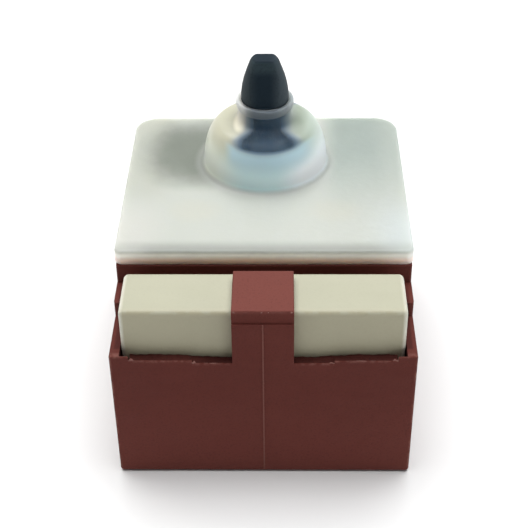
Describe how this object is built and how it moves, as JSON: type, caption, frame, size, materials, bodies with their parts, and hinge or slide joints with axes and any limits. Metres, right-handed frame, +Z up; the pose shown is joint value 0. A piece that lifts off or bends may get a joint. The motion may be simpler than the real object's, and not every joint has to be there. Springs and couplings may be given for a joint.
{
  "type": "angle grinder switch",
  "caption": "Boxy lever switch with a translucent dust boot over a black toggle lever, and a cream suppression capacitor held under a hook in its nose.",
  "frame": {"origin": "centre of the flat underside, under the middle of the bounding box", "axes": "+Z up along the upright lever, +X across the switch, -Y towards the nose that holds the capacitor"},
  "size_m": [0.0288, 0.0345, 0.0325],
  "materials": {
    "housing_moulding": "satin thermoset moulding",
    "cover_moulding": "satin moulding",
    "silicone": "milky translucent silicone",
    "lever_moulding": "satin moulding",
    "steel": "ground pin",
    "spring_steel": "drawn wire",
    "brass": "stamped strip",
    "copper": "stamped copper strip",
    "silver": "silver alloy rivet",
    "zinc_steel": "zinc-plated",
    "capacitor_moulding": "satin cream moulding",
    "epoxy": "cast resin",
    "tinned_wire": "tinned copper"
  },
  "bodies": {
    "housing_body": {"housing": "housing_moulding", "mechanism_cover": "cover_moulding", "dust_boot": "silicone", "pivot_pin": "steel", "capacitor_case": "capacitor_moulding", "capacitor_potting": "epoxy", "capacitor_lead_left": "tinned_wire", "capacitor_lead_right": "tinned_wire", "fixed_contact_left": "silver", "fixed_contact_right": "silver", "load_terminal_left": "brass", "load_terminal_right": "brass", "load_clamp_left": "zinc_steel", "load_clamp_right": "zinc_steel", "load_screw_left": "zinc_steel", "load_screw_right": "zinc_steel", "common_terminal_left": "brass", "common_terminal_right": "brass", "common_clamp_left": "zinc_steel", "common_clamp_right": "zinc_steel", "common_screw_left": "zinc_steel", "common_screw_right": "zinc_steel"},
    "lever_body": {"toggle_lever": "lever_moulding", "plunger_spring_left": "spring_steel", "plunger_spring_right": "spring_steel"},
    "plunger_body_left": {"plunger_left": "brass"},
    "rocker_body_left": {"rocker_left": "copper", "moving_contact_left": "silver"},
    "plunger_body_right": {"plunger_right": "brass"},
    "rocker_body_right": {"rocker_right": "copper", "moving_contact_right": "silver"}
  },
  "joints": [
    {"name": "lever_tilt", "type": "hinge", "parent": "housing_body", "child": "lever_body", "pos_m": [0, 0.00857, 0.0155], "axis": [-1, 0, 0], "range_deg": [0, 15], "deforming": ["dust_boot"]},
    {"name": "plunger_travel_left", "type": "slide", "parent": "lever_body", "child": "plunger_body_left", "axis": [0, 0, 1], "range_m": [0, 0.0012], "stiffness_N_per_m": 1000, "springref_m": -0.0015, "deforming": ["plunger_spring_left"]},
    {"name": "plunger_travel_right", "type": "slide", "parent": "lever_body", "child": "plunger_body_right", "axis": [0, 0, 1], "range_m": [0, 0.0012], "stiffness_N_per_m": 1000, "springref_m": -0.0015, "deforming": ["plunger_spring_right"]},
    {"name": "rocker_tilt_left", "type": "hinge", "parent": "housing_body", "child": "rocker_body_left", "pos_m": [0, 0.00774, 0.00705], "axis": [1, 0, 0], "range_deg": [0, 7.5]},
    {"name": "rocker_tilt_right", "type": "hinge", "parent": "housing_body", "child": "rocker_body_right", "pos_m": [0, 0.00774, 0.00705], "axis": [1, 0, 0], "range_deg": [0, 7.5]}
  ],
  "couplings": [
    {"joint": "rocker_tilt_left", "follows": "lever_tilt", "ratio": 0.5},
    {"joint": "rocker_tilt_right", "follows": "lever_tilt", "ratio": 0.5}
  ]
}
